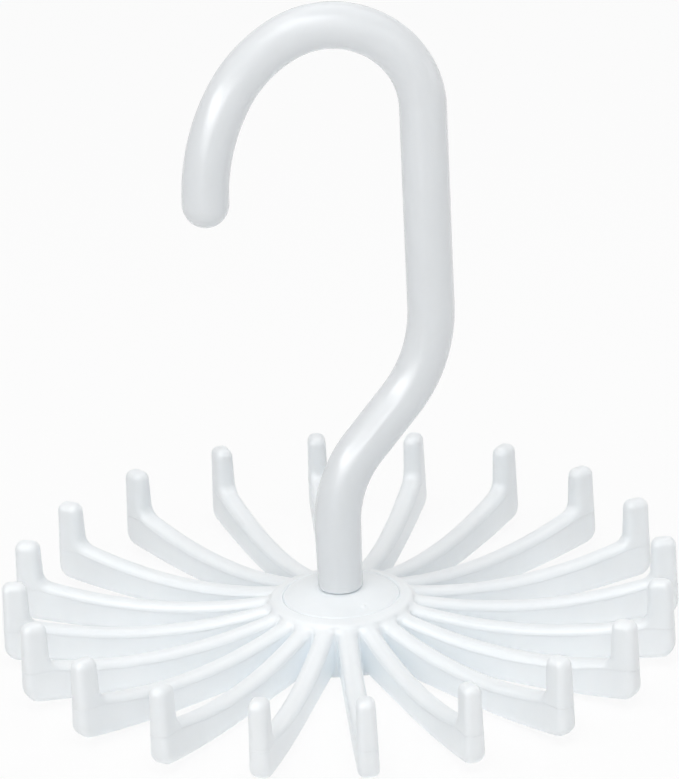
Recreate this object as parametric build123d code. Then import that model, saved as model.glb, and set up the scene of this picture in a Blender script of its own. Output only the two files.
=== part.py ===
from build123d import *
import math
import os

# A rotating tie hanger: a moulded hook swivels on a wheel of twenty arms, each with a peg at its tip.
# Millimetres. The origin is on the swivel axis, in the plane that the hub's rim stands on. +Z is up.
# The hook lies in the XZ plane, with its stem on the +X side and its open mouth on the -X side.

# Overall sizes
total_height = 129.9
wheel_radius = 64.8
seat_height = 12.5

# Arms
arm_count = 20
arm_phase_deg = 3.3
arm_root_radius = 12.9
blade_depth = 6.1
blade_low_height = 0.5
sag_radius = 92.0
underside_radius = 215.0
sag_centre_radius = 36.5
root_half_width = 1.95
tip_half_width = 2.1
arm_draft = 0.35
arm_edge_round = 1.15
peg_top_height = 17.8
peg_base_depth = 5.3
peg_lean_in = 0.4
peg_lean_out = 0.3
peg_corner_round = 1.5
notch_round = 1.3
heel_round = 2.6
trim_allowance = 1.0

# Hub of the wheel
skirt_bottom_radius = 14.9
skirt_top_radius = 14.0
skirt_wall = 2.0
skirt_edge_round = 0.4
ring_radius = 13.7
ring_height = 10.3
ring_edge_round = 0.5
ring_step = 1.1
plate_thickness = 2.2
boss_wall = 2.1
boss_end_height = 3.8
rib_count = 5
rib_thickness = 1.2
rib_end_height = 4.5

# Flanged bush in the hub
bush_flange_radius = 11.1
bush_rim_height = 10.9
bush_crown_radius = 5.0
bush_seat_height = 9.0
bush_barrel_radius = 5.0
bush_end_height = 3.6
bush_edge_round = 0.45
bush_seat_clearance = 0.06
bush_barrel_clearance = 0.02

# Hook
rod_diameter = 8.9
neck_diameter = 8.5
neck_length = 12.5
stem_offset = 19.35
lower_bend_radius = 26.0
upper_bend_radius = 30.0
bend_angle_deg = 38.5
crown_radius = 16.8
crown_angle_deg = 120.0
shoulder_radius = 28.0
shoulder_angle_deg = 31.0
cheek_radius = 43.5
neck_edge_round = 0.3
shoulder_gap = 0.2

# Swivel journal, washer and screw
journal_radius = 3.0
journal_clearance = 0.06
journal_end_gap = 0.1
washer_radius = 6.2
washer_thickness = 0.8
screw_radius = 1.5
screw_hole_clearance = 0.02
washer_hole_clearance = 0.2
screw_length = 8.0
screw_point_length = 1.6
screw_point_radius = 0.4
pilot_spare_depth = 1.2
screw_head_radius = 3.1
screw_head_height = 1.9
screw_head_round = 0.9
drive_slot_width = 0.9
drive_slot_length = 3.4
drive_slot_depth = 1.0

# Small overrun of every cut past the face that it opens
cut_overrun = 0.5


def ridge_height(radius):
    """Height of an arm's sagging top edge at a distance from the swivel axis."""
    reach = radius - sag_centre_radius
    drop = sag_radius - math.sqrt(sag_radius**2 - reach**2)
    return blade_low_height + blade_depth + drop


def underside_height(radius):
    """Height of an arm's bottom edge outside the lowest point of its sag."""
    reach = radius - sag_centre_radius
    drop = underside_radius - math.sqrt(underside_radius**2 - reach**2)
    return blade_low_height + drop


def arm_side_face():
    """Side view of one arm in the XZ plane: blade, notch, peg and heel."""
    notch_radius = wheel_radius - peg_base_depth
    peg_top_inner = notch_radius + peg_lean_in
    peg_top_outer = wheel_radius - peg_lean_out
    mid_under = (sag_centre_radius + wheel_radius) / 2
    root_low = (arm_root_radius, blade_low_height)
    sag_low = (sag_centre_radius, blade_low_height)
    heel = (wheel_radius, underside_height(wheel_radius))
    root_high = (arm_root_radius, ridge_height(arm_root_radius))
    sag_high = (sag_centre_radius, ridge_height(sag_centre_radius))
    notch = (notch_radius, ridge_height(notch_radius))
    edges = [
        Line(root_low, sag_low),
        ThreePointArc(sag_low, (mid_under, underside_height(mid_under)), heel),
        Line(heel, (peg_top_outer, peg_top_height)),
        Line((peg_top_outer, peg_top_height), (peg_top_inner, peg_top_height)),
        Line((peg_top_inner, peg_top_height), notch),
        ThreePointArc(notch, sag_high, root_high),
        Line(root_high, root_low),
    ]
    face = make_face(edges)
    corners = face.vertices().group_by(Axis.Y)[-1]
    face = fillet(corners, peg_corner_round)
    face = fillet(nearest_vertex(face, notch), notch_round)
    return fillet(nearest_vertex(face, heel), heel_round)


def nearest_vertex(face, point):
    """The vertex of a flat outline that is nearest to a point of its sketch plane."""
    target = Vector(point[0], point[1], 0)
    return face.vertices().sort_by_distance(target)[0]


def arm_blank():
    """Tapered and drafted block, thicker at the tip and at the bottom, that one arm is cut from."""
    start_radius = arm_root_radius - trim_allowance
    end_radius = wheel_radius + trim_allowance
    top = peg_top_height + trim_allowance
    sections = []
    for radius, half_width in ((start_radius, root_half_width), (end_radius, tip_half_width)):
        bottom_half = half_width
        top_half = half_width - arm_draft
        plane = Plane(origin=(radius, 0, 0), x_dir=(0, 1, 0), z_dir=(1, 0, 0))
        corners = [(-bottom_half, 0), (bottom_half, 0), (top_half, top), (-top_half, top)]
        sections.append(plane * make_face(Polyline(*corners, close=True)))
    return loft(sections, ruled=True)


def make_arm():
    """One arm on the +X side, with every edge rounded except at its root in the hub."""
    side = Plane.XZ * arm_side_face()
    slab = extrude(side, amount=tip_half_width + trim_allowance, both=True)
    arm = slab & arm_blank()
    inner_half = root_half_width - arm_draft - arm_edge_round / 2
    root_limit = arm_root_radius + arm_edge_round / 2
    rounded = [
        edge
        for edge in arm.edges()
        if abs(edge.center().Y) > inner_half and edge.center().X > root_limit
    ]
    return fillet(rounded, arm_edge_round)


def make_hub():
    """Hub of the wheel: conical skirt, raised ring, plate with the bush seat, boss and ribs."""
    seat_radius = bush_flange_radius + bush_seat_clearance
    bore_radius = bush_barrel_radius + bush_barrel_clearance
    boss_radius = bore_radius + boss_wall
    cavity_radius = skirt_bottom_radius - skirt_wall
    cavity_top_radius = skirt_top_radius - skirt_wall
    plate_low = bush_seat_height - plate_thickness
    step_height = ring_height - ring_step
    outline = [
        (cavity_radius, 0),
        (skirt_bottom_radius, 0),
        (skirt_top_radius, step_height),
        (ring_radius, step_height),
        (ring_radius, ring_height),
        (seat_radius, bush_rim_height),
        (seat_radius, bush_seat_height),
        (bore_radius, bush_seat_height),
        (bore_radius, boss_end_height),
        (boss_radius, boss_end_height),
        (boss_radius, plate_low),
        (cavity_top_radius, plate_low),
    ]
    face = make_face(Polyline(*outline, close=True))
    face = fillet(nearest_vertex(face, (skirt_bottom_radius, 0)), skirt_edge_round)
    face = fillet(nearest_vertex(face, (ring_radius, ring_height)), ring_edge_round)
    face = fillet(nearest_vertex(face, (seat_radius, bush_rim_height)), ring_edge_round / 2)
    hub = revolve(Plane.XZ * face, Axis.Z)
    rib_start = boss_radius - boss_wall / 2
    rib_end = cavity_top_radius + skirt_wall / 2
    rib_height = plate_low + plate_thickness / 2 - rib_end_height
    for index in range(rib_count):
        rib = Box(rib_end - rib_start, rib_thickness, rib_height, align=(Align.MIN, Align.CENTER, Align.MIN))
        placed = Pos(rib_start, 0, rib_end_height) * rib
        hub += Rot(0, 0, arm_phase_deg + (index + 1 / 2) * 360 / rib_count) * placed
    return hub


def make_tie_wheel():
    """The wheel, one moulding: the hub with its twenty arms."""
    arm = make_arm()
    arms = [Rot(0, 0, arm_phase_deg + index * 360 / arm_count) * arm for index in range(arm_count)]
    return make_hub().fuse(*arms).clean()


def make_swivel_bush():
    """Flanged bush pressed into the hub: its domed flange is the disc round the hook's neck."""
    bore_radius = journal_radius + journal_clearance
    crown_height = seat_height - shoulder_gap
    mid_radius = (bush_crown_radius + bush_flange_radius) / 2
    rise = crown_height - bush_rim_height
    mid_height = bush_rim_height + rise * 5 / 9
    crown = (bush_crown_radius, crown_height)
    rim = (bush_flange_radius, bush_rim_height)
    edges = [
        Line((bore_radius, bush_end_height), (bush_barrel_radius, bush_end_height)),
        Line((bush_barrel_radius, bush_end_height), (bush_barrel_radius, bush_seat_height)),
        Line((bush_barrel_radius, bush_seat_height), (bush_flange_radius, bush_seat_height)),
        Line((bush_flange_radius, bush_seat_height), rim),
        ThreePointArc(rim, (mid_radius, mid_height), crown),
        Line(crown, (bore_radius, crown_height)),
        Line((bore_radius, crown_height), (bore_radius, bush_end_height)),
    ]
    face = make_face(edges)
    face = fillet(nearest_vertex(face, rim), bush_edge_round)
    return revolve(Plane.XZ * face, Axis.Z)


def hook_path():
    """Centreline of the hook's rod above its neck, and the points and headings at its ends."""
    bend = math.radians(bend_angle_deg)
    start = Vector(0, 0, seat_height + neck_length)
    bends_reach = (lower_bend_radius + upper_bend_radius) * (1 - math.cos(bend))
    slant_length = (stem_offset - bends_reach) / math.sin(bend)
    crown_height = total_height - rod_diameter / 2 - crown_radius
    lower_centre = start + Vector(lower_bend_radius, 0, 0)
    lower_end = turned(lower_centre, lower_bend_radius, 180 - bend_angle_deg)
    lower_mid = turned(lower_centre, lower_bend_radius, 180 - bend_angle_deg / 2)
    slant_end = lower_end + Vector(math.sin(bend), 0, math.cos(bend)) * slant_length
    upper_centre = slant_end - Vector(math.cos(bend), 0, -math.sin(bend)) * upper_bend_radius
    upper_end = turned(upper_centre, upper_bend_radius, 0)
    upper_mid = turned(upper_centre, upper_bend_radius, -bend_angle_deg / 2)
    crown_centre = Vector(stem_offset - crown_radius, 0, crown_height)
    crown_start = turned(crown_centre, crown_radius, 0)
    edges = [
        ThreePointArc(start, lower_mid, lower_end),
        Line(lower_end, slant_end),
        ThreePointArc(slant_end, upper_mid, upper_end),
        Line(upper_end, crown_start),
    ]
    centre = crown_centre
    angle = 0.0
    radius = crown_radius
    cheek_angle_deg = 180 - crown_angle_deg - shoulder_angle_deg
    stages = (
        (crown_radius, crown_angle_deg),
        (shoulder_radius, shoulder_angle_deg),
        (cheek_radius, cheek_angle_deg),
    )
    for next_radius, sweep_deg in stages:
        centre = centre - turned(Vector(), next_radius - radius, angle)
        radius = next_radius
        first = turned(centre, radius, angle)
        middle = turned(centre, radius, angle + sweep_deg / 2)
        angle += sweep_deg
        edges.append(ThreePointArc(first, middle, turned(centre, radius, angle)))
    return edges, start, turned(centre, radius, angle)


def turned(centre, radius, angle_deg):
    """Point of the XZ plane at an angle round a centre, measured from +X towards +Z."""
    angle = math.radians(angle_deg)
    return centre + Vector(math.cos(angle), 0, math.sin(angle)) * radius


def make_hook():
    """The hook, one moulding: swept rod, round tip, slightly tapered neck and stepped journal."""
    edges, start, tip = hook_path()
    section = Plane(origin=start, x_dir=(1, 0, 0), z_dir=(0, 0, 1)) * Circle(rod_diameter / 2)
    rod = sweep(section, path=Wire(edges))
    rod += Pos(tip.X, tip.Y, tip.Z) * Sphere(rod_diameter / 2)
    neck_profile = [
        (0, seat_height),
        (neck_diameter / 2, seat_height),
        (rod_diameter / 2, start.Z),
        (0, start.Z),
    ]
    neck_face = make_face(Polyline(*neck_profile, close=True))
    neck_face = fillet(nearest_vertex(neck_face, (neck_diameter / 2, seat_height)), neck_edge_round)
    neck = revolve(Plane.XZ * neck_face, Axis.Z)
    journal_low = bush_end_height - journal_end_gap
    journal_length = seat_height - journal_low + neck_edge_round
    journal = Pos(0, 0, journal_low) * Cylinder(
        journal_radius, journal_length, align=(Align.CENTER, Align.CENTER, Align.MIN)
    )
    pilot_depth = screw_length - washer_thickness + pilot_spare_depth
    pilot = Pos(0, 0, journal_low - cut_overrun) * Cylinder(
        screw_radius + screw_hole_clearance,
        pilot_depth + cut_overrun,
        align=(Align.CENTER, Align.CENTER, Align.MIN),
    )
    return rod + neck + journal - pilot


def make_retaining_washer():
    """Steel washer clamped on the end of the journal: the bush turns above it."""
    washer_high = bush_end_height - journal_end_gap
    base = (Align.CENTER, Align.CENTER, Align.MIN)
    disc = Cylinder(washer_radius, washer_thickness, align=base)
    hole = Cylinder(screw_radius + washer_hole_clearance, washer_thickness + 2 * cut_overrun, align=base)
    washer = disc - Pos(0, 0, -cut_overrun) * hole
    return Pos(0, 0, washer_high - washer_thickness) * washer


def make_retaining_screw():
    """Pan head screw, driven up into the journal from below, with a cross recess."""
    head_high = bush_end_height - journal_end_gap - washer_thickness
    head_low = head_high - screw_head_height
    tip = head_high + screw_length
    outline = [
        (0, head_low),
        (screw_head_radius, head_low),
        (screw_head_radius, head_high),
        (screw_radius, head_high),
        (screw_radius, tip - screw_point_length),
        (screw_point_radius, tip),
        (0, tip),
    ]
    face = make_face(Polyline(*outline, close=True))
    face = fillet(nearest_vertex(face, (screw_head_radius, head_low)), screw_head_round)
    screw = revolve(Plane.XZ * face, Axis.Z)
    recess_height = drive_slot_depth + cut_overrun
    base = (Align.CENTER, Align.CENTER, Align.MIN)
    slot = Box(drive_slot_length, drive_slot_width, recess_height, align=base)
    cross = slot + Rot(0, 0, 90) * slot
    return screw - Pos(0, 0, head_low - cut_overrun) * cross


def main():
    """Write every sub-part to its own STEP file."""
    os.makedirs("parts", exist_ok=True)
    parts = {
        "tie_wheel": make_tie_wheel(),
        "swivel_bush": make_swivel_bush(),
        "hook": make_hook(),
        "retaining_washer": make_retaining_washer(),
        "retaining_screw": make_retaining_screw(),
    }
    for name, shape in parts.items():
        export_step(shape, os.path.join("parts", name + ".step"))


main()
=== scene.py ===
"""Dresses the rotating tie hanger: a white moulded hook that swivels on a wheel of twenty arms.

Lengths in the dataclasses are in millimetres, and MM turns them into metres. The origin is on the swivel
axis, in the plane of the hub's rim. +Z is up. The hook lies in the XZ plane, with its stem on the +X side.
"""

import logging
import math
from dataclasses import dataclass
from enum import Enum
from typing import Callable, Optional, Sequence, Union

import bpy
import numpy as np
from mathutils import Matrix, Vector


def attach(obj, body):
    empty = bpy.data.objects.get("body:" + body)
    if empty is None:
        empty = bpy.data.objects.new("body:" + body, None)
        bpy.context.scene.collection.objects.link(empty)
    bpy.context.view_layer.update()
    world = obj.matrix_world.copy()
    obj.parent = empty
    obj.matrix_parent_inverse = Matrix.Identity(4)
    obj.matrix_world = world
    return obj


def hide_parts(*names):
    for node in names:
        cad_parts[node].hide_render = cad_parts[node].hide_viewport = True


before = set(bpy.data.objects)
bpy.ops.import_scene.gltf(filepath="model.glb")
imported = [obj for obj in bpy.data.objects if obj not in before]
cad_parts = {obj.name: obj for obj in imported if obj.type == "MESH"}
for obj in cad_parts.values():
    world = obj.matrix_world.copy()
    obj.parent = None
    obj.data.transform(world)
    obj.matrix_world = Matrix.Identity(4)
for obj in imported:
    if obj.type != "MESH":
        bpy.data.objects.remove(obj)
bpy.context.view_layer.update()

MM = 0.001
LONG_SIDE_PX = 779
WIDTH = "width"
WHITE = (1.0, 1.0, 1.0, 1.0)
log = logging.getLogger("tie_hanger")

Array = np.ndarray
Colour = tuple[float, float, float, float]
Pair = tuple[float, float]
Triple = tuple[float, float, float]
Span = tuple[float, float, int]
Outline = list[Pair]
Given = Union[int, float, bpy.types.ID]


class Body(Enum):
    """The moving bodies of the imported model."""

    WHEEL = "wheel"
    HOOK = "hook"


class SocketKind(Enum):
    """Kinds of named input that a form tree takes: the socket's type, and the type of its values."""

    COUNT = ("NodeSocketInt", int)
    SIZE = ("NodeSocketFloat", float)
    SHAPE = ("NodeSocketObject", bpy.types.Object)
    FINISH = ("NodeSocketMaterial", bpy.types.Material)

    @classmethod
    def socket_for(cls, value: object) -> str:
        """The type of the socket that takes the value."""
        return next(kind.value[0] for kind in cls if isinstance(value, kind.value[1]))


class LampWork(Enum):
    """What a lamp does: whether surfaces take its diffuse light, and whether it shows in their gloss."""

    BOTH = (True, True)
    DIFFUSE = (True, False)
    GLOSS = (False, True)


class Signal:
    """A node's output that takes part in Python arithmetic: each operator adds a Math node."""

    def __init__(self, graph: "NodeGraph", socket: bpy.types.NodeSocket) -> None:
        """Keeps the output socket and the graph that it belongs to."""
        self.graph = graph
        self.socket = socket

    def __add__(self, other: "Feed") -> "Signal":
        """self + other."""
        return self.graph.math("ADD", self, other)

    def __radd__(self, other: "Feed") -> "Signal":
        """other + self."""
        return self.graph.math("ADD", other, self)

    def __sub__(self, other: "Feed") -> "Signal":
        """self - other."""
        return self.graph.math("SUBTRACT", self, other)

    def __rsub__(self, other: "Feed") -> "Signal":
        """other - self."""
        return self.graph.math("SUBTRACT", other, self)

    def __mul__(self, other: "Feed") -> "Signal":
        """self * other."""
        return self.graph.math("MULTIPLY", self, other)

    def __rmul__(self, other: "Feed") -> "Signal":
        """other * self."""
        return self.graph.math("MULTIPLY", other, self)

    def __truediv__(self, other: "Feed") -> "Signal":
        """self / other."""
        return self.graph.math("DIVIDE", self, other)

    def __pow__(self, other: "Feed") -> "Signal":
        """self ** other."""
        return self.graph.math("POWER", self, other)

    def __mod__(self, other: "Feed") -> "Signal":
        """self % other."""
        return self.graph.math("FLOORED_MODULO", self, other)

    def __abs__(self) -> "Signal":
        """abs(self)."""
        return self.graph.math("ABSOLUTE", self)


Feed = Union[Signal, list[Signal], float, int, bool, str, Sequence[float], bpy.types.ID]


class NodeGraph:
    """A node tree that is written as Python calls and expressions."""

    def __init__(self, tree: bpy.types.NodeTree) -> None:
        """Keeps the tree that the nodes go into."""
        self.tree = tree

    def node(
        self,
        kind: str,
        settings: Optional[dict[str, object]] = None,
        inputs: Optional[dict[Union[str, int], Feed]] = None,
        output: Union[str, int] = 0,
    ) -> Signal:
        """Adds one node.

        Args:
            kind: the node's type name.
            settings: the node's own properties, set first; "stops" fills a colour ramp.
            inputs: a value, a signal or a list of signals for each input named or numbered.
            output: the name or number of the output that is wanted.

        Returns:
            The wanted output.
        """
        made = self.tree.nodes.new(kind)
        for key, value in (settings or {}).items():
            if key == "stops":
                self._fill_ramp(made.color_ramp, value)
            else:
                setattr(made, key, value)
        for key, value in (inputs or {}).items():
            target = made.inputs[key]
            if isinstance(value, Signal):
                self.tree.links.new(value.socket, target)
            elif isinstance(value, list):
                for part in value:
                    self.tree.links.new(part.socket, target)
            else:
                target.default_value = value
        return Signal(self, made.outputs[output]) if made.outputs else Signal(self, made.inputs[0])

    def math(self, operation: str, *values: Feed) -> Signal:
        """Adds a Math node with the given operation and operands."""
        return self.node("ShaderNodeMath", {"operation": operation}, dict(enumerate(values)))

    @staticmethod
    def _fill_ramp(ramp: bpy.types.ColorRamp, stops: Sequence[Pair]) -> None:
        """Gives a colour ramp its grey stops.

        Args:
            ramp: the ramp of a new node.
            stops: a place and a level for each stop.
        """
        while len(ramp.elements) < len(stops):
            ramp.elements.new(1.0)
        for element, (place, level) in zip(ramp.elements, stops):
            element.position = place
            element.color = (level, level, level, 1.0)


class SurfaceGraph(NodeGraph):
    """The node graph of one material, with the object's own coordinates at hand."""

    CLOUD_ROUGHNESS = 0.55
    MIX_FIRST, MIX_SECOND, MIX_RESULT = 6, 7, 2

    def __init__(self, name: str) -> None:
        """Starts an empty material.

        Args:
            name: the material's name.
        """
        self.material = bpy.data.materials.new(name)
        self.material.use_nodes = True
        super().__init__(self.material.node_tree)
        self.tree.nodes.clear()
        self.place = self.node("ShaderNodeTexCoord", output="Object")

    def noise(self, grain_mm: float, detail: float, stretch: Triple = (1.0, 1.0, 1.0)) -> Signal:
        """Adds a cloud pattern.

        Args:
            grain_mm: the size of one cloud.
            detail: how many finer layers it has.
            stretch: how much longer than wide the clouds are along X, Y and Z.

        Returns:
            The pattern, from about 0 to 1 with a mean of 0.5.
        """
        squeeze = tuple(1.0 / part for part in stretch)
        inputs = {
            "Vector": self.node("ShaderNodeMapping", inputs={"Vector": self.place, "Scale": squeeze}),
            "Scale": 1.0 / (grain_mm * MM),
            "Detail": detail,
            "Roughness": self.CLOUD_ROUGHNESS,
        }
        return self.node("ShaderNodeTexNoise", inputs=inputs)

    def ramp(self, level: Signal, reach: Pair) -> Signal:
        """Spreads the levels within reach over 0 to 1, and cuts off what lies outside."""
        stops = ((reach[0], 0.0), (reach[1], 1.0))
        return self.node("ShaderNodeValToRGB", {"stops": stops}, {"Fac": level})

    def blend(self, first: Union[Signal, Colour], second: Union[Signal, Colour], share: Signal) -> Signal:
        """Mixes two colours by a share from 0, the first, to 1, the second."""
        inputs = {"Factor": share, self.MIX_FIRST: first, self.MIX_SECOND: second}
        return self.node("ShaderNodeMix", {"data_type": "RGBA"}, inputs, self.MIX_RESULT)

    def bump(self, height_mm: Signal) -> Signal:
        """Turns a height in millimetres into a surface normal."""
        return self.node("ShaderNodeBump", inputs={"Strength": 1.0, "Distance": MM, "Height": height_mm})

    def close(self, shader: Signal) -> bpy.types.Material:
        """Connects the shader to the material's output and returns the material."""
        self.node("ShaderNodeOutputMaterial", inputs={"Surface": shader})
        return self.material


@dataclass(frozen=True)
class MouldedPlastic:
    """Glossy white moulded plastic: a cloudy tint, flow streaks, a hazy gloss and a fine orange peel."""

    name: str
    tint: Colour
    shade: Colour
    cloud_mm: float = 16.0
    cloud_part: float = 0.62
    cloud_reach: Pair = (0.36, 0.66)
    streak_mm: float = 2.4
    streak_stretch: Triple = (1.0, 1.0, 5.0)
    gloss_roughness: float = 0.31
    haze: float = 0.1
    haze_finer: float = 3.0
    haze_reach: Pair = (0.35, 0.7)
    peel_mm: float = 1.5
    peel_depth_mm: float = 0.012
    grain_mm: float = 0.22
    grain_depth_mm: float = 0.0012
    refraction: float = 1.47
    scatter: float = 0.15
    scatter_mm: float = 1.5
    scatter_colour: Triple = (1.0, 0.95, 0.9)

    def material(self) -> bpy.types.Material:
        """Builds the finish.

        Returns:
            The material, which varies in colour, roughness and normal.
        """
        graph = SurfaceGraph(self.name)
        cloud = graph.noise(self.cloud_mm, detail=3.0)
        streak = graph.noise(self.streak_mm, detail=2.0, stretch=self.streak_stretch)
        pattern = self.cloud_part * cloud + (1 - self.cloud_part) * streak
        haze = graph.ramp(graph.noise(self.cloud_mm / self.haze_finer, detail=4.0), self.haze_reach)
        peel = self.peel_depth_mm * graph.noise(self.peel_mm, detail=1.0)
        grain = self.grain_depth_mm * graph.noise(self.grain_mm, detail=2.0)
        inputs = {
            "Base Color": graph.blend(self.tint, self.shade, graph.ramp(pattern, self.cloud_reach)),
            "Roughness": self.gloss_roughness + self.haze * haze,
            "IOR": self.refraction,
            "Subsurface Weight": self.scatter,
            "Subsurface Radius": self.scatter_colour,
            "Subsurface Scale": self.scatter_mm * MM,
            "Normal": graph.bump(peel + grain),
        }
        return graph.close(graph.node("ShaderNodeBsdfPrincipled", inputs=inputs))


@dataclass(frozen=True)
class ZincPlate:
    """Bright zinc plated steel: grey metal with a fine drawn grain and small dull blotches."""

    name: str
    bright: Colour = (0.62, 0.62, 0.60, 1.0)
    dull: Colour = (0.42, 0.43, 0.44, 1.0)
    blotch_mm: float = 1.8
    blotch_reach: Pair = (0.38, 0.68)
    grain_mm: float = 0.18
    grain_stretch: Triple = (6.0, 1.0, 1.0)
    grain_depth_mm: float = 0.004
    gloss_roughness: float = 0.24
    haze: float = 0.22

    def material(self) -> bpy.types.Material:
        """Builds the finish.

        Returns:
            The material, which varies in colour, roughness and normal.
        """
        graph = SurfaceGraph(self.name)
        blotch = graph.ramp(graph.noise(self.blotch_mm, detail=4.0), self.blotch_reach)
        grain = graph.noise(self.grain_mm, detail=3.0, stretch=self.grain_stretch)
        inputs = {
            "Base Color": graph.blend(self.bright, self.dull, blotch),
            "Metallic": 1.0,
            "Roughness": self.gloss_roughness + self.haze * blotch,
            "Normal": graph.bump(self.grain_depth_mm * grain),
        }
        return graph.close(graph.node("ShaderNodeBsdfPrincipled", inputs=inputs))


class FormTree(NodeGraph):
    """A Geometry Nodes tree with named inputs, which grows one plain mesh object."""

    def __init__(self, name: str, inputs: dict[str, Given]) -> None:
        """Makes the tree with its named inputs and one geometry output.

        Args:
            name: the tree's name.
            inputs: the value of each named input, "Weld" and "Finish" among them.
        """
        super().__init__(bpy.data.node_groups.new(name, "GeometryNodeTree"))
        interface = self.tree.interface
        self.values: dict[str, Given] = {}
        for label, value in inputs.items():
            kind = SocketKind.socket_for(value)
            socket = interface.new_socket(label, in_out="INPUT", socket_type=kind)
            self.values[socket.identifier] = value
        interface.new_socket("Geometry", in_out="OUTPUT", socket_type="NodeSocketGeometry")
        self.entry = self.tree.nodes.new("NodeGroupInput")

    def given(self, label: str) -> Signal:
        """The named input."""
        return Signal(self, self.entry.outputs[label])

    def shape(self, label: str) -> Signal:
        """The geometry of the object that the named input holds."""
        return self.node("GeometryNodeObjectInfo", inputs={"Object": self.given(label)}, output="Geometry")

    def path(self, label: str) -> Signal:
        """The curve along the edges of the object that the named input holds."""
        return self.node("GeometryNodeMeshToCurve", inputs={"Mesh": self.shape(label)})

    def circle(self, sides: Feed, radius: Feed) -> Signal:
        """A round section for a sweep."""
        inputs = {"Resolution": sides, "Radius": radius}
        return self.node("GeometryNodeCurvePrimitiveCircle", inputs=inputs, output="Curve")

    def width(self) -> Signal:
        """The width that a path's points hold."""
        return self.node("GeometryNodeInputNamedAttribute", {"data_type": "FLOAT"}, {"Name": WIDTH})

    def sweep(self, curve: Signal, section: Signal, scale: Feed = 1.0) -> Signal:
        """Carries a section along a curve at the given scale, and closes the ends."""
        inputs = {"Curve": curve, "Profile Curve": section, "Scale": scale, "Fill Caps": True}
        return self.node("GeometryNodeCurveToMesh", inputs=inputs)

    def close(self, geometry: Signal) -> None:
        """Ends the tree: plain geometry, welded, smooth and with its finish.

        Args:
            geometry: what the tree has made.
        """
        plain = self.node("GeometryNodeRealizeInstances", inputs={"Geometry": geometry})
        weld = {"Geometry": plain, "Distance": self.given("Weld")}
        welded = self.node("GeometryNodeMergeByDistance", inputs=weld)
        smooth = self.node("GeometryNodeSetShadeSmooth", inputs={"Geometry": welded})
        finish = {"Geometry": smooth, "Material": self.given("Finish")}
        dressed = self.node("GeometryNodeSetMaterial", inputs=finish)
        self.node("NodeGroupOutput", inputs={"Geometry": dressed})

    def grow(self, name: str) -> bpy.types.Object:
        """Runs the tree once and keeps its result as a plain mesh.

        Args:
            name: the name of the new piece.

        Returns:
            The piece, with no modifier left on it.
        """
        piece = bpy.data.objects.new(name, bpy.data.meshes.new(name + "_seed"))
        bpy.context.scene.collection.objects.link(piece)
        modifier = piece.modifiers.new(self.tree.name, "NODES")
        modifier.node_group = self.tree
        for identifier, value in self.values.items():
            modifier[identifier] = value
        graph = bpy.context.evaluated_depsgraph_get()
        mesh = bpy.data.meshes.new_from_object(piece.evaluated_get(graph))
        mesh.name = name
        piece.modifiers.remove(modifier)
        piece.data = mesh
        return piece


def mesh_object(
    name: str,
    points_mm: Array,
    faces: Sequence[Sequence[int]],
    edges: Sequence[tuple[int, int]] = (),
) -> bpy.types.Object:
    """Makes a mesh object at the origin from points in millimetres.

    Args:
        name: the object's name.
        points_mm: an N by 3 array of points.
        faces: the corner numbers of each face.
        edges: loose edges, for a path.

    Returns:
        The object, linked to the scene.
    """
    mesh = bpy.data.meshes.new(name)
    mesh.from_pydata((np.asarray(points_mm) * MM).tolist(), list(edges), [list(face) for face in faces])
    mesh.validate()
    shape = bpy.data.objects.new(name, mesh)
    bpy.context.scene.collection.objects.link(shape)
    return shape


def path_object(name: str, points_mm: Array, widths: Optional[Array] = None) -> bpy.types.Object:
    """Makes a path of edges through the points, as an input for a form tree.

    Args:
        name: the object's name.
        points_mm: an N by 3 array of points.
        widths: the scale of a swept section at each point, where it varies.

    Returns:
        The path.
    """
    edges = [(index, index + 1) for index in range(len(points_mm) - 1)]
    path = mesh_object(name, points_mm, [], edges)
    if widths is not None:
        held = path.data.attributes.new(WIDTH, "FLOAT", "POINT")
        held.data.foreach_set("value", widths.astype(np.float32))
    return path


def discard(*shapes: bpy.types.Object) -> None:
    """Removes shapes that only fed a form tree.

    Args:
        shapes: the objects, whose meshes go too.
    """
    for shape in shapes:
        mesh = shape.data
        bpy.data.objects.remove(shape)
        bpy.data.meshes.remove(mesh)


def dress(piece: bpy.types.Object, finish: bpy.types.Material) -> None:
    """Gives a piece one smooth finish."""
    piece.data.materials.append(finish)
    piece.data.shade_smooth()


def hand_over(piece: bpy.types.Object, body: Body, node: str) -> bpy.types.Object:
    """Puts a finished piece on its body and hides the CAD node that it stands for.

    Args:
        piece: the piece, a plain mesh.
        body: the body that it rides on.
        node: the CAD node that it stands for.

    Returns:
        The same piece.
    """
    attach(piece, body.value)
    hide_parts(node)
    return piece


def round_meet(first: Array, second: Array, radius: Union[float, Array]) -> Array:
    """Depth field of what two solids share, with the edge between them rounded.

    Args:
        first: signed distance to the first solid's surface, negative inside.
        second: the same for the second solid.
        radius: the radius of the edge.

    Returns:
        The signed distance field of the rounded solid.
    """
    a = first + radius
    b = second + radius
    return np.hypot(np.maximum(a, 0), np.maximum(b, 0)) + np.minimum(np.maximum(a, b), 0) - radius


def round_join(first: Array, second: Array, radius: Union[float, Array]) -> Array:
    """Depth field of two solids joined, with a fillet of the given radius between them."""
    return -round_meet(-first, -second, radius)


def side_of_line(u: Array, v: Array, start: Pair, end: Pair) -> Array:
    """Signed distance from the line from start to end, positive on its right-hand side."""
    along_u, along_v = end[0] - start[0], end[1] - start[1]
    return ((u - start[0]) * along_v - (v - start[1]) * along_u) / math.hypot(along_u, along_v)


def steps(*spans: Span) -> Array:
    """Stations along a line: each span gives its start, its end and its number of steps."""
    parts = [np.linspace(start, end, count + 1)[:-1] for start, end, count in spans]
    return np.concatenate([*parts, [spans[-1][1]]])


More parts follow.
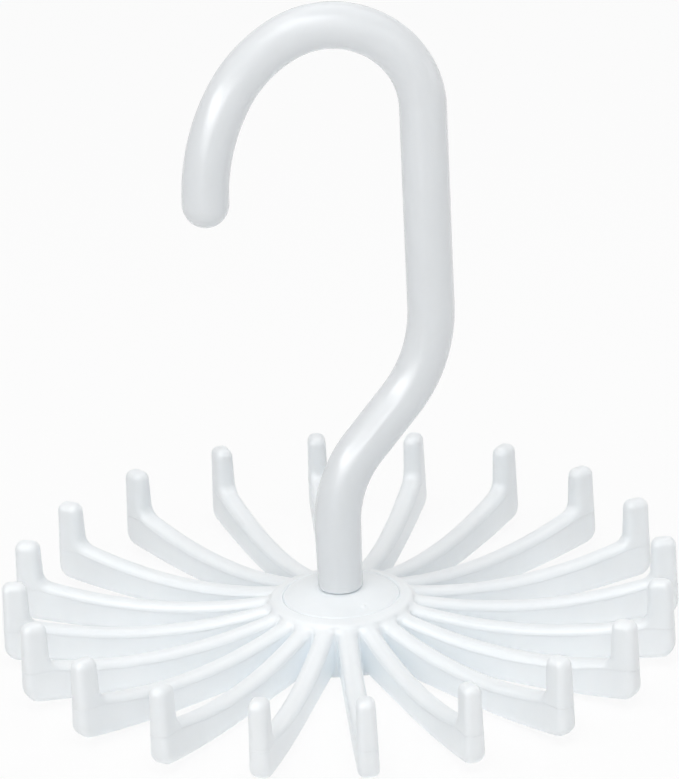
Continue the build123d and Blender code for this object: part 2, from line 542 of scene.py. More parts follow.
class LatticeSkin:
    """Wraps a skin of quads round a solid that is given by a signed distance field."""

    ACROSS = ((1, 2), (2, 0), (0, 1))
    CELLS_ROUND_EDGE = ((-1, -1), (0, -1), (0, 0), (-1, 0))
    AROUND = 1
    NUDGE_MM = 0.01
    SETTLE_ROUNDS = 4
    LEAST_SLOPE_SQUARED = 0.25

    def __init__(self, field_at: Callable[[Array], Array], lattice: Array) -> None:
        """Keeps the field and a lattice of points that covers the solid: I by J by K by 3."""
        self.field_at = field_at
        self.lattice = lattice

    def skin(self) -> tuple[Array, Array]:
        """Finds the skin: a point in each cell that the surface crosses, and a quad round each crossed edge.

        Returns:
            The skin's points and its quads. A quad that the first and the last column of cells share is
            made once.
        """
        depth = self.field_at(self.lattice)
        inside = depth < 0
        cells = tuple(size - 1 for size in depth.shape)
        total = np.zeros((*cells, 3))
        count = np.zeros(cells)
        quads = []
        numbers = np.arange(int(np.prod(cells))).reshape(cells)
        for axis, (first, second) in enumerate(self.ACROSS):
            crossed = np.argwhere(inside[self._cut(axis, 0, -1)] != inside[self._cut(axis, 1, None)])
            start = tuple(crossed.T)
            end = tuple((crossed + np.eye(3, dtype=int)[axis]).T)
            share = depth[start] / (depth[start] - depth[end])
            points = self.lattice[start] + (self.lattice[end] - self.lattice[start]) * share[:, None]
            ring = []
            valid = np.ones(len(crossed), bool)
            for near, far in self.CELLS_ROUND_EDGE:
                cell = crossed.copy()
                cell[:, first] += near
                cell[:, second] += far
                held = np.all((cell >= 0) & (cell < cells), axis=1)
                valid &= held
                np.add.at(total, tuple(cell[held].T), points[held])
                np.add.at(count, tuple(cell[held].T), 1)
                ring.append(numbers[tuple(np.clip(cell, 0, np.array(cells) - 1).T)])
            if axis == self.AROUND:
                # The last column of cells repeats the first, so its own quads are left out.
                valid &= crossed[:, axis] < cells[axis] - 1
            quad = np.stack(ring, axis=1)
            entering = ~inside[start]
            quad[entering] = quad[entering][:, ::-1]
            quads.append(quad[valid])
        faces = np.concatenate(quads)
        used, compact = np.unique(faces, return_inverse=True)
        middles = total.reshape(-1, 3)[used] / count.reshape(-1, 1)[used]
        return self._settle(middles), compact.reshape(faces.shape)

    @staticmethod
    def _cut(axis: int, start: int, stop: Optional[int]) -> tuple:
        """A slice along one axis of the lattice."""
        return tuple(slice(start, stop) if way == axis else slice(None) for way in range(3))

    def _settle(self, points: Array) -> Array:
        """Moves points along the field's slope on to the surface.

        Args:
            points: an N by 3 array of points near the surface.

        Returns:
            The points, moved.
        """
        for _ in range(self.SETTLE_ROUNDS):
            slope = np.empty_like(points)
            for axis, nudge in enumerate(np.eye(3) * self.NUDGE_MM):
                slope[:, axis] = self.field_at(points + nudge) - self.field_at(points - nudge)
            slope /= 2 * self.NUDGE_MM
            steep = np.maximum((slope**2).sum(axis=1), self.LEAST_SLOPE_SQUARED)
            points = points - slope * (self.field_at(points) / steep)[:, None]
        return points


@dataclass
class TieWheel:
    """The wheel: a cored hub with twenty sagging blades, each ending in an upright peg. One moulding."""

    finish: MouldedPlastic
    radius: float = 64.8
    arm_count: int = 20
    first_arm_deg: float = 3.3
    blade_low: float = 0.5
    blade_depth: float = 6.1
    sag_at: float = 36.5
    sag_radius: float = 92.0
    underside_radius: float = 215.0
    root_half_width: float = 1.95
    tip_half_width: float = 2.1
    draft: float = 0.35
    blade_edge: float = 1.45
    peg_edge: float = 1.4
    peg_top: float = 17.8
    peg_depth: float = 5.3
    peg_lean_in: float = 0.4
    peg_lean_out: float = 0.3
    peg_corner: float = 1.5
    notch_fillet: float = 1.3
    heel_corner: float = 2.6
    root_start: float = 13.6
    root_fillet: float = 0.6
    ring_fillet: float = 1.0
    skirt_low_radius: float = 14.9
    skirt_high_radius: float = 14.0
    skirt_wall: float = 2.0
    step_height: float = 9.2
    ring_radius: float = 13.7
    ring_height: float = 10.3
    ring_inner_height: float = 10.9
    ring_edge: float = 0.55
    step_edge: float = 0.15
    step_fillet: float = 0.3
    rim_edge: float = 0.4
    cavity_edge: float = 0.15
    plate_low: float = 6.8
    plate_fillet: float = 0.5
    seat_height: float = 9.0
    seat_radius: float = 11.16
    seat_edge: float = 0.45
    bore_radius: float = 5.02
    bore_edge: float = 0.1
    boss_radius: float = 7.12
    boss_end: float = 3.8
    boss_edge: float = 0.25
    boss_fillet: float = 0.4
    rib_every: int = 4
    rib_first: int = 2
    rib_half: float = 0.6
    rib_end: float = 4.5
    rib_overlap: float = 1.0
    rib_edge: float = 0.2
    rib_fillet: float = 0.35
    parting_drop: float = 1.2
    parting_bead: float = 0.06
    parting_inset: float = 0.1
    parting_points: int = 26
    parting_turn_points: int = 4
    bead_sides: int = 5
    lattice_spans: tuple[Span, ...] = (
        (4.7, 10.7, 9),
        (10.7, 14.9, 18),
        (14.9, 18.0, 5),
        (18.0, 57.0, 16),
        (57.0, 65.3, 20),
    )
    lattice_low: float = -0.4
    lattice_high: float = 18.3
    lattice_flat_from: float = 58.0
    lattice_levels: tuple[int, int, int] = (2, 16, 22)
    cells_across: int = 14
    blade_share: float = 0.86
    blade_reach: float = 2.42
    weld: float = 0.002

    def ridge(self, x: Union[float, Array]) -> Union[float, Array]:
        """Height of a blade's top edge at a distance from the axis."""
        reach = np.asarray(x) - self.sag_at
        return self.blade_low + self.blade_depth + self.sag_radius - np.sqrt(self.sag_radius**2 - reach**2)

    def underside(self, x: Union[float, Array]) -> Union[float, Array]:
        """Height of a blade's bottom edge at a distance from the axis."""
        reach = np.maximum(np.asarray(x) - self.sag_at, 0)
        return self.blade_low + self.underside_radius - np.sqrt(self.underside_radius**2 - reach**2)

    def half_width(self, x: Array, z: Array) -> Array:
        """Half of a blade's thickness at a place of its side view."""
        taper = (self.tip_half_width - self.root_half_width) * x / self.radius
        return self.root_half_width + taper - self.draft * z / self.peg_top

    def arm_field(self, x: Array, y: Array, z: Array) -> Array:
        """Signed distance to one arm that lies along +X.

        Args:
            x: distances along the arm.
            y: distances across it.
            z: heights.

        Returns:
            The distance at each place, negative inside.
        """
        top_centre = self.blade_low + self.blade_depth + self.sag_radius
        low_centre = self.blade_low + self.underside_radius
        ridge = self.sag_radius - np.hypot(x - self.sag_at, z - top_centre)
        bowl = np.hypot(x - self.sag_at, z - low_centre) - self.underside_radius
        under = np.where(x < self.sag_at, self.blade_low - z, bowl)
        foot = self.radius - self.peg_depth
        heel = (self.radius, float(self.underside(self.radius)))
        outer = side_of_line(x, z, heel, (self.radius - self.peg_lean_out, self.peg_top))
        inner = -side_of_line(x, z, (foot, float(self.ridge(foot))), (foot + self.peg_lean_in, self.peg_top))
        peg = round_meet(round_meet(outer, z - self.peg_top, self.peg_corner), inner, self.peg_corner)
        top = round_join(ridge, peg, self.notch_fillet)
        side = np.maximum(top, round_meet(outer, under, self.heel_corner))
        side = np.maximum(side, self.root_start - x)
        lift = np.clip((z - self.ridge(foot)) / (self.peg_top - self.ridge(foot)), 0, 1)
        edge = self.blade_edge + (self.peg_edge - self.blade_edge) * lift**2 * (3 - 2 * lift)
        return round_meet(side, np.abs(y) - self.half_width(x, z), edge)

    def hub_field(self, r: Array, z: Array) -> Array:
        """Signed distance to the hub without its ribs.

        Args:
            r: distances from the swivel axis.
            z: heights.

        Returns:
            The distance at each place, negative inside.
        """
        skirt = side_of_line(r, z, (self.skirt_low_radius, 0), (self.skirt_high_radius, self.step_height))
        lower = round_meet(skirt, z - self.step_height, self.step_edge)
        ring_inside = (self.seat_radius, self.ring_inner_height)
        crown = side_of_line(r, z, (self.ring_radius, self.ring_height), ring_inside)
        ring = round_meet(r - self.ring_radius, crown, self.ring_edge)
        solid = round_meet(round_join(lower, ring, self.step_fillet), -z, self.rim_edge)
        wall_low = (self.skirt_low_radius - self.skirt_wall, 0)
        wall = side_of_line(r, z, wall_low, (self.skirt_high_radius - self.skirt_wall, self.plate_low))
        boss = round_meet(r - self.boss_radius, self.boss_end - z, self.boss_edge)
        cavity = round_meet(wall, z - self.plate_low, self.plate_fillet)
        cavity = round_meet(cavity, -boss, self.boss_fillet)
        solid = round_meet(solid, -cavity, self.cavity_edge)
        seat = np.maximum(r - self.seat_radius, self.seat_height - z)
        solid = round_meet(solid, -seat, self.seat_edge)
        return round_meet(solid, self.bore_radius - r, self.bore_edge)

    def rib_field(self, x: Array, y: Array, z: Array) -> Array:
        """Signed distance to one rib that lies along +X between the boss and the skirt.

        Args:
            x: distances along the rib.
            y: distances across it.
            z: heights.

        Returns:
            The distance at each place, negative inside.
        """
        skirt_middle = self.skirt_high_radius - self.skirt_wall / 2
        ends = np.maximum(self.boss_radius - self.rib_overlap - x, x - skirt_middle)
        plan = np.maximum(np.abs(y) - self.rib_half, ends)
        rise = np.maximum(self.rib_end - z, z - self.plate_low - self.rib_overlap)
        return round_meet(plan, rise, self.rib_edge)

    def field(self, points: Array, ribbed: bool) -> Array:
        """Signed distance to the wheel.

        Args:
            points: places in millimetres, with +X along the nearest arm of the sector at hand.
            ribbed: whether a rib of the hub lies under this arm.

        Returns:
            The distance at each place, negative inside.
        """
        pitch = 2 * math.pi / self.arm_count
        r = np.hypot(points[..., 0], points[..., 1])
        z = points[..., 2]
        turn = np.arctan2(points[..., 1], points[..., 0])
        turn = turn - pitch * np.round(turn / pitch)
        solid = self.hub_field(r, z)
        if ribbed:
            rib = self.rib_field(r * np.cos(turn), r * np.sin(turn), z)
            solid = round_join(solid, rib, self.rib_fillet)
        turns = (turn + pitch, turn, turn - pitch)
        before, middle, after = (self.arm_field(r * np.cos(t), r * np.sin(t), z) for t in turns)
        arms = round_join(round_join(middle, before, self.root_fillet), after, self.root_fillet)
        return round_join(solid, arms, self.ring_fillet)

    def lattice(self) -> Array:
        """Lattice for one sector: its columns hug the arm, and its levels follow the blade's edges.

        Returns:
            The points. The last column repeats the second one a whole sector further on.
        """
        r = steps(*self.lattice_spans)
        column = np.linspace(-1, 1, self.cells_across + 1)
        column = np.append(column, column[1] + 2)
        half = math.pi / self.arm_count
        hug = np.minimum(np.arcsin(np.minimum(self.blade_reach / r, 1)) / half, self.blade_share)[:, None]
        wrapped = np.where(column > 1, column - 2, column)[None, :]
        spread = np.abs(wrapped)
        inner = spread / self.blade_share * hug
        outer = hug + (spread - self.blade_share) / (1 - self.blade_share) * (1 - hug)
        angle = np.sign(wrapped) * np.where(spread <= self.blade_share, inner, outer) * half
        angle = angle + np.where(column > 1, 2 * half, 0.0)[None, :]
        low = self.underside(np.minimum(r, self.lattice_flat_from))
        high = self.ridge(np.clip(r, self.skirt_high_radius, self.lattice_flat_from))
        bounds = (np.full_like(r, self.lattice_low), low, high, np.full_like(r, self.lattice_high))
        parts = []
        for base, top, count in zip(bounds, bounds[1:], self.lattice_levels):
            parts.append(base[:, None] + (top - base)[:, None] * np.linspace(0, 1, count + 1)[:-1])
        levels = np.concatenate([*parts, bounds[-1][:, None]], axis=1)
        points = np.empty((len(r), len(column), levels.shape[1], 3))
        points[..., 0] = (r[:, None] * np.cos(angle))[:, :, None]
        points[..., 1] = (r[:, None] * np.sin(angle))[:, :, None]
        points[..., 2] = levels[:, None, :]
        return points

    def sector(self, ribbed: bool) -> bpy.types.Object:
        """One twentieth of the wheel.

        Args:
            ribbed: whether it has a rib of the hub.

        Returns:
            The sector, with its arm along +X.
        """
        points, quads = LatticeSkin(lambda at: self.field(at, ribbed), self.lattice()).skin()
        points[:, 2] = np.maximum(points[:, 2], 0)
        return mesh_object("sector_ribbed" if ribbed else "sector_plain", points, quads.tolist())

    def parting_line(self) -> bpy.types.Object:
        """Path of the mould's parting line: along one side of a blade, round its peg and back.

        Returns:
            The path, for the arm along +X.
        """
        bend = self.peg_edge
        corner_x = self.radius - self.parting_inset - bend
        run, turned = self.parting_points, self.parting_turn_points
        x = np.append(np.linspace(self.root_start, corner_x, run), [corner_x] * turned)
        foot = self.radius - self.peg_depth
        z = self.ridge(np.minimum(x, foot)) - self.parting_drop
        y = self.half_width(x, z)
        turn = np.linspace(0, math.pi / 2, turned + 1)[1:]
        x[run:] = corner_x + bend * np.sin(turn)
        y[run:] = y[run - 1] - bend * (1 - np.cos(turn))
        side = np.stack([x, y, z], axis=1)
        return path_object("parting_line", np.concatenate([side, (side * (1, -1, 1))[::-1]]))

    def tree(self, parts: Sequence[bpy.types.Object]) -> FormTree:
        """Geometry Nodes tree that repeats the sectors and the parting line round the swivel axis.

        Args:
            parts: the plain sector, the ribbed sector and the parting line.

        Returns:
            The tree, ready to grow.
        """
        values = {
            "Plain Sector": parts[0],
            "Ribbed Sector": parts[1],
            "Parting Line": parts[2],
            "Arm Count": self.arm_count,
            "First Arm": math.radians(self.first_arm_deg),
            "Rib Every": self.rib_every,
            "First Rib": self.rib_first,
            "Bead Radius": self.parting_bead * MM,
            "Bead Sides": self.bead_sides,
            "Weld": self.weld * MM,
            "Finish": self.finish.material(),
        }
        tree = FormTree("arms_round_hub", values)
        axis_points = tree.node("GeometryNodePoints", inputs={"Count": tree.given("Arm Count")})
        index = tree.node("GeometryNodeInputIndex")
        turn = tree.given("First Arm") + index * (2 * math.pi) / tree.given("Arm Count")
        spin = tree.node("ShaderNodeCombineXYZ", inputs={"Z": turn})
        rotation = tree.node("FunctionNodeEulerToRotation", inputs={"Euler": spin})
        arms_off = abs(index % tree.given("Rib Every") - tree.given("First Rib"))
        under_rib = 1 - tree.math("MINIMUM", arms_off, 1.0)
        bead = tree.circle(tree.given("Bead Sides"), tree.given("Bead Radius"))
        rings = []
        for shape, chosen in (
            (tree.shape("Plain Sector"), 1 - under_rib),
            (tree.shape("Ribbed Sector"), under_rib),
            (tree.sweep(tree.path("Parting Line"), bead), True),
        ):
            inputs = {"Points": axis_points, "Selection": chosen, "Instance": shape, "Rotation": rotation}
            rings.append(tree.node("GeometryNodeInstanceOnPoints", inputs=inputs))
        tree.close(tree.node("GeometryNodeJoinGeometry", inputs={"Geometry": rings}))
        return tree

    def build(self) -> list[bpy.types.Object]:
        """Builds the wheel as one plain mesh and puts it on its body.

        Returns:
            The wheel.
        """
        parts = [self.sector(False), self.sector(True), self.parting_line()]
        wheel = self.tree(parts).grow("wheel_moulding")
        discard(*parts)
        return [hand_over(wheel, Body.WHEEL, "tie_wheel")]


@dataclass
class Hook:
    """The hook: a round rod bent into a crown, an S-shaped stem and a neck, with a journal below it."""

    finish: MouldedPlastic
    top: float = 129.88
    rod_radius: float = 4.45
    neck_radius: float = 4.25
    seat_height: float = 12.5
    neck_length: float = 12.5
    stem_offset: float = 19.35
    lower_bend: float = 26.0
    upper_bend: float = 30.0
    bend_deg: float = 38.5
    crown_bends: tuple[Pair, ...] = ((16.8, 120.0), (28.0, 31.0), (43.5, 29.0))
    journal_radius: float = 3.0
    journal_low: float = 3.5
    journal_bevel: float = 0.3
    shoulder: float = 0.001
    neck_edge: float = 0.35
    neck_edge_steps: int = 4
    station: float = 1.1
    fewest_steps: int = 2
    dome_steps: int = 15
    tip_radius: float = 0.004
    sides: int = 64
    bead_height: float = 0.05
    bead_sharpness: float = 420.0
    weld: float = 0.02

    def runs(self) -> list[Pair]:
        """Centreline above the neck's foot, as runs.

        Returns:
            The length of each run, and the angle that it turns to the left.
        """
        bend = math.radians(self.bend_deg)
        sideways = (self.lower_bend + self.upper_bend) * (1 - math.cos(bend))
        slant = (self.stem_offset - sideways) / math.sin(bend)
        stem_foot = self.seat_height + self.neck_length + slant * math.cos(bend)
        stem_foot += (self.lower_bend + self.upper_bend) * math.sin(bend)
        spring = self.top - self.rod_radius - self.crown_bends[0][0]
        made = [
            (self.neck_length, 0.0),
            (self.lower_bend * bend, -bend),
            (slant, 0.0),
            (self.upper_bend * bend, bend),
            (spring - stem_foot, 0.0),
        ]
        return made + [(radius * math.radians(deg), math.radians(deg)) for radius, deg in self.crown_bends]

    def stations(self) -> tuple[Array, Array]:
        """Stations along the rod.

        Returns:
            The points of the centreline from the journal's end to the tip, and the rod's radius at each.
        """
        spine = [(0.0, self.seat_height)]
        heading = math.pi / 2
        for length, turn in self.runs():
            count = max(self.fewest_steps, round(length / self.station))
            chord = length / count
            if turn:
                chord = 2 * abs(length / turn) * math.sin(abs(turn) / count / 2)
            for _ in range(count):
                heading += turn / count / 2
                x, z = spine[-1]
                spine.append((x + chord * math.cos(heading), z + chord * math.sin(heading)))
                heading += turn / count / 2
        line = np.array(spine)
        rise = np.clip((line[:, 1] - self.seat_height) / self.neck_length, 0, 1)
        radius = self.neck_radius + (self.rod_radius - self.neck_radius) * rise
        return self._with_ends(line, radius, heading)

    def _with_ends(self, line: Array, radius: Array, heading: float) -> tuple[Array, Array]:
        """Adds the journal, the neck's rounded foot and the domed tip to the centreline.

        Args:
            line: the centreline's points from the neck's foot to the tip, in X and Z.
            radius: the rod's radius at each.
            heading: the direction of the tip.

        Returns:
            The points and the radii from the journal's end to the dome's.
        """
        foot_turn = np.linspace(0, math.pi / 2, self.neck_edge_steps + 1)
        foot_z = self.seat_height + self.neck_edge * (1 - np.cos(foot_turn))
        foot_radius = self.neck_radius - self.neck_edge * (1 - np.sin(foot_turn))
        low_z = [self.journal_low, self.journal_low + self.journal_bevel, self.seat_height - self.shoulder]
        low_radius = [self.journal_radius - self.journal_bevel, self.journal_radius, self.journal_radius]
        dome = np.linspace(0, math.pi / 2, self.dome_steps + 1)[1:]
        reach = self.rod_radius * np.sin(dome)
        tip = line[-1] + reach[:, None] * np.array([math.cos(heading), math.sin(heading)])
        tip_radius = np.maximum(self.rod_radius * np.cos(dome), self.tip_radius)
        plan = np.concatenate([[(0.0, z) for z in [*low_z, *foot_z]], line[1:], tip])
        widths = np.concatenate([low_radius, foot_radius, radius[1:], tip_radius])
        return np.stack([plan[:, 0], np.zeros(len(plan)), plan[:, 1]], axis=1), widths

    def tree(self, path: bpy.types.Object) -> FormTree:
        """Geometry Nodes tree that sweeps a round section with two fine parting beads along a path.

        Args:
            path: the centreline, with the rod's radius at each point.

        Returns:
            The tree, ready to grow.
        """
        values = {
            "Path": path,
            "Sides": self.sides,
            "Bead Height": self.bead_height / self.rod_radius,
            "Bead Sharpness": self.bead_sharpness,
            "Weld": self.weld * MM,
            "Finish": self.finish.material(),
        }
        tree = FormTree("rod_along_path", values)
        upright = {"Curve": tree.path("Path"), "Normal": (0.0, 1.0, 0.0)}
        steady = tree.node("GeometryNodeSetCurveNormal", {"mode": "FREE"}, upright)
        circle = tree.circle(tree.given("Sides"), 1.0)
        spot = tree.node("GeometryNodeInputPosition")
        across = tree.node("ShaderNodeSeparateXYZ", inputs={"Vector": spot}, output="Y")
        lift = 1 - tree.given("Bead Height") * (1 - abs(across) ** tree.given("Bead Sharpness"))
        raised = tree.node("ShaderNodeVectorMath", {"operation": "SCALE"}, {"Vector": spot, "Scale": lift})
        section = tree.node("GeometryNodeSetPosition", inputs={"Geometry": circle, "Position": raised})
        tree.close(tree.sweep(steady, section, tree.width()))
        return tree

    def build(self) -> list[bpy.types.Object]:
        """Builds the hook as one plain mesh and puts it on its body.

        Returns:
            The hook.
        """
        points, widths = self.stations()
        path = path_object("rod_path", points, widths * MM)
        hook = self.tree(path).grow("hook_moulding")
        discard(path)
        return [hand_over(hook, Body.HOOK, "hook")]


def lathe(
    name: str,
    outline: Outline,
    sides: int,
    relief: Optional[Callable[[Array], Array]] = None,
) -> bpy.types.Object:
    """Turns an outline of (radius, height) about the swivel axis.

    Args:
        name: the piece's name.
        outline: the outline's points, counterclockwise in the plane of radius and height; where it starts
            and ends on the axis it is open, and otherwise it closes on itself.
        sides: how many sides the round has.
        relief: gives the height to add at each point.

    Returns:
        The turned piece, closed all round.
    """
    solid = outline[0][0] == 0 and outline[-1][0] == 0
    rings = outline[1:-1] if solid else outline
    turn = np.linspace(0, 2 * math.pi, sides, endpoint=False)
    rows = [np.stack([r * np.cos(turn), r * np.sin(turn), np.full(sides, z)], axis=1) for r, z in rings]
    count = len(rings)
    pairs = [(side, (side + 1) % sides) for side in range(sides)]
    faces = []
    for row in range(count - 1 if solid else count):
        low, high = row * sides, (row + 1) % count * sides
        faces += [(low + side, low + after, high + after, high + side) for side, after in pairs]
    if solid:
        rows.append(np.array([(0.0, 0.0, outline[0][1]), (0.0, 0.0, outline[-1][1])]))
        first, last, low = count * sides, count * sides + 1, (count - 1) * sides
        for side, after in pairs:
            faces += [(first, after, side), (last, low + side, low + after)]
    points = np.concatenate(rows)
    if relief is not None:
        points[:, 2] += relief(points)
    return mesh_object(name, points, faces)


def bend_points(centre: Pair, radius: float, start_deg: float, end_deg: float, count: int) -> Outline:
    """Points on an arc of an outline, both ends included."""
    angles = np.radians(np.linspace(start_deg, end_deg, count + 1))
    return [(centre[0] + radius * math.cos(a), centre[1] + radius * math.sin(a)) for a in angles]


def run_points(start: Pair, end: Pair, count: int) -> Outline:
    """Points along a straight run of an outline, without its ends."""
    shares = np.linspace(0, 1, count + 1)[1:-1]
    return [(start[0] + (end[0] - start[0]) * s, start[1] + (end[1] - start[1]) * s) for s in shares]


@dataclass
class SwivelBush:
    """The flanged bush pressed into the hub: a domed disc round the neck, with a gate mark on it."""

    finish: MouldedPlastic
    bore_radius: float = 3.06
    barrel_radius: float = 5.0
    barrel_end: float = 3.6
    seat_height: float = 9.0
    flange_radius: float = 11.14
    rim_height: float = 10.9
    crown_radius: float = 5.0
    crown_height: float = 12.3
    edge: float = 0.55
    edge_steps: int = 6
    dome_middle: float = 5 / 9
    dome_steps: int = 32
    bevel: float = 0.3
    bevel_steps: int = 4
    flange_bevel: float = 0.2
    gate_radius: float = 8.8
    gate_deg: float = -61.3
    gate_spot: float = 0.45
    gate_height: float = 0.24
    stub_reach: float = 1.35
    dish_at: float = 1.8
    dish_width: float = 0.6
    dish_depth: float = 0.3
    sides: int = 256

    def dome(self) -> Outline:
        """The flange's dome: a shallow arc that has risen by dome_middle of its rise when it is halfway.

        Returns:
            The arc's points from the flange's rim to its crown.
        """
        shares = np.linspace(0, 1, self.dome_steps + 1)
        start = self.flange_radius - self.edge
        span = start - self.crown_radius
        rise = self.crown_height - self.rim_height
        bow = 4 * (self.dome_middle - 1 / 2) * rise
        return [(start - span * s, self.rim_height + rise * s + bow * s * (1 - s)) for s in shares]

    def gate_mark(self, points: Array) -> Array:
        """Height that the broken-off gate adds: a small stub in a shallow dish.

        Args:
            points: the bush's points.

        Returns:
            The height at each. The stub's and the dish's sizes are shares of the gate's spot and height.
        """
        turn = math.radians(self.gate_deg)
        spot_x, spot_y = self.gate_radius * math.cos(turn), self.gate_radius * math.sin(turn)
        away = np.hypot(points[:, 0] - spot_x, points[:, 1] - spot_y) / self.gate_spot
        stub = np.clip(self.stub_reach - away, 0, 1)
        dish = self.dish_depth * np.exp(-(((away - self.dish_at) / self.dish_width) ** 2))
        on_top = points[:, 2] > self.rim_height - self.edge
        return np.where(on_top, self.gate_height * (stub**2 * (3 - 2 * stub) - dish), 0.0)

    def build(self) -> list[bpy.types.Object]:
        """Turns the bush and puts it on its body.

        Returns:
            The bush.
        """
        edge_centre = (self.flange_radius - self.edge, self.rim_height - self.edge)
        bore_top = (self.bore_radius + self.bevel, self.crown_height - self.bevel)
        outline = [
            (self.bore_radius, self.barrel_end + self.bevel),
            (self.bore_radius + self.bevel, self.barrel_end),
            (self.barrel_radius - self.bevel, self.barrel_end),
            (self.barrel_radius, self.barrel_end + self.bevel),
            (self.barrel_radius, self.seat_height),
            (self.flange_radius - self.flange_bevel, self.seat_height),
            (self.flange_radius, self.seat_height + self.flange_bevel),
            *bend_points(edge_centre, self.edge, 0, 90, self.edge_steps)[:-1],
            *self.dome(),
            *bend_points(bore_top, self.bevel, 90, 180, self.bevel_steps),
        ]
        bush = lathe("swivel_bush_moulding", outline, self.sides, self.gate_mark)
        dress(bush, self.finish.material())
        return [hand_over(bush, Body.WHEEL, "swivel_bush")]


@dataclass
class Retainer:
    """The steel washer and the pan head screw that hold the hook's journal in the bush."""

    washer_finish: ZincPlate
    screw_finish: ZincPlate
    washer_high: float = 3.5
    washer_thickness: float = 0.8
    washer_radius: float = 6.2
    washer_hole: float = 1.7
    washer_edge: float = 0.15
    roll_radius: float = 0.3
    roll_steps: int = 5
    burr: float = 0.05
    screw_radius: float = 1.5
    core_radius: float = 1.15
    screw_length: float = 8.0
    point_length: float = 1.6
    head_radius: float = 3.1
    head_height: float = 1.9
    head_round: float = 0.9
    head_round_steps: int = 8
    head_bevel: float = 0.1
    face_start: float = 0.08
    face_rings: int = 25
    shank_fillet: float = 0.15
    shank_steps: int = 4
    point_flat: Pair = (0.15, 0.1)
    drive_reach: float = 1.7
    drive_half: float = 0.42
    drive_depth: float = 1.0
    drive_slope: float = 0.3
    thread_pitch: float = 1.1
    thread_turns: float = 5.4
    thread_steps: int = 26
    thread_sides: int = 4
    thread_start: float = 0.7
    thread_fade: float = 12.0
    thread_least: float = 0.1
    weld: float = 0.0005
    sides: int = 96

    def washer_outline(self) -> Outline:
        """The washer's section, rolled over on its lower outer edge as stamping leaves it.

        Returns:
            The section's points, counterclockwise from the hole's lower edge.
        """
        low, high = self.washer_high - self.washer_thickness, self.washer_high
        hole, outer, edge, roll = self.washer_hole, self.washer_radius, self.washer_edge, self.roll_radius
        return [
            (hole, low + edge),
            (hole + edge, low),
            *bend_points((outer - roll, low + roll), roll, -90, 0, self.roll_steps),
            (outer, high - self.burr),
            (outer - self.burr, high),
            (hole + edge, high),
            (hole, high - edge),
        ]

    def drive_recess(self, points: Array) -> Array:
        """Height that the cross recess adds to the head's underside.

        Args:
            points: the screw's points.

        Returns:
            The height at each.
        """
        arm_x = np.maximum(np.abs(points[:, 0]) - self.drive_reach, np.abs(points[:, 1]) - self.drive_half)
        arm_y = np.maximum(np.abs(points[:, 1]) - self.drive_reach, np.abs(points[:, 0]) - self.drive_half)
        deep = np.clip(-np.minimum(arm_x, arm_y) / self.drive_slope, 0, 1)
        head_low = self.washer_high - self.washer_thickness - self.head_height
        on_face = points[:, 2] < head_low + self.head_round
        return np.where(on_face, self.drive_depth * deep * (2 - deep), 0.0)

    def screw_outline(self) -> Outline:
        """The screw's section from the middle of its head, which faces down, to its point.

        Returns:
            The section's points, which start and end on the axis.
        """
        seat = self.washer_high - self.washer_thickness
        low, tip = seat - self.head_height, seat + self.screw_length
        core, point_foot = self.core_radius, tip - self.point_length
        flat = self.head_radius - self.head_round
        point_radius, point_drop = self.point_flat
        return [
            (0.0, low),
            *[(r, low) for r in np.linspace(self.face_start, flat, self.face_rings + 1)[:-1]],
            *bend_points((flat, low + self.head_round), self.head_round, -90, 0, self.head_round_steps),
            (self.head_radius, seat - self.head_bevel),
            (self.head_radius - self.head_bevel, seat),
            (core + self.shank_fillet, seat),
            (core, seat + self.shank_fillet),
            *run_points((core, seat), (core, point_foot), self.shank_steps),
            (core, point_foot),
            (point_radius, tip - point_drop),
            (0.0, tip),
        ]

    def helix(self) -> bpy.types.Object:
        """Path of the thread round the shank, with its depth fading at both ends.

        Returns:
            The path.
        """
        count = round(self.thread_turns * self.thread_steps)
        share = np.linspace(0, 1, count + 1)
        turn = share * self.thread_turns * 2 * math.pi
        height = self.washer_high + self.thread_start + share * self.thread_turns * self.thread_pitch
        points = np.stack([self.core_radius * np.cos(turn), self.core_radius * np.sin(turn), height], axis=1)
        fade = np.clip(np.minimum(share, 1 - share) * self.thread_fade, self.thread_least, 1)
        return path_object("thread_path", points, fade)

    def tree(self, helix: bpy.types.Object, shank: bpy.types.Object) -> FormTree:
        """Geometry Nodes tree that sweeps the thread's section along a helix and joins it to the shank.

        Args:
            helix: the thread's path.
            shank: the screw without its thread.

        Returns:
            The tree, ready to grow.
        """
        values = {
            "Helix": helix,
            "Shank": shank,
            "Depth": (self.screw_radius - self.core_radius) * MM,
            "Sides": self.thread_sides,
            "Weld": self.weld * MM,
            "Finish": self.screw_finish.material(),
        }
        tree = FormTree("thread_on_shank", values)
        steady = tree.node("GeometryNodeSetCurveNormal", {"mode": "Z_UP"}, {"Curve": tree.path("Helix")})
        crest = tree.circle(tree.given("Sides"), tree.given("Depth"))
        parts = [tree.sweep(steady, crest, tree.width()), tree.shape("Shank")]
        tree.close(tree.node("GeometryNodeJoinGeometry", inputs={"Geometry": parts}))
        return tree

    def build(self) -> list[bpy.types.Object]:
        """Builds the washer and the screw and puts them on the hook's body.

        Returns:
            The washer and the screw.
        """
        washer = lathe("washer_plate", self.washer_outline(), self.sides)
        dress(washer, self.washer_finish.material())
        shank = lathe("screw_shank", self.screw_outline(), self.sides, self.drive_recess)
        helix = self.helix()
        screw = self.tree(helix, shank).grow("screw_turned")
        discard(helix, shank)
        return [
            hand_over(washer, Body.HOOK, "retaining_washer"),
            hand_over(screw, Body.HOOK, "retaining_screw"),
        ]


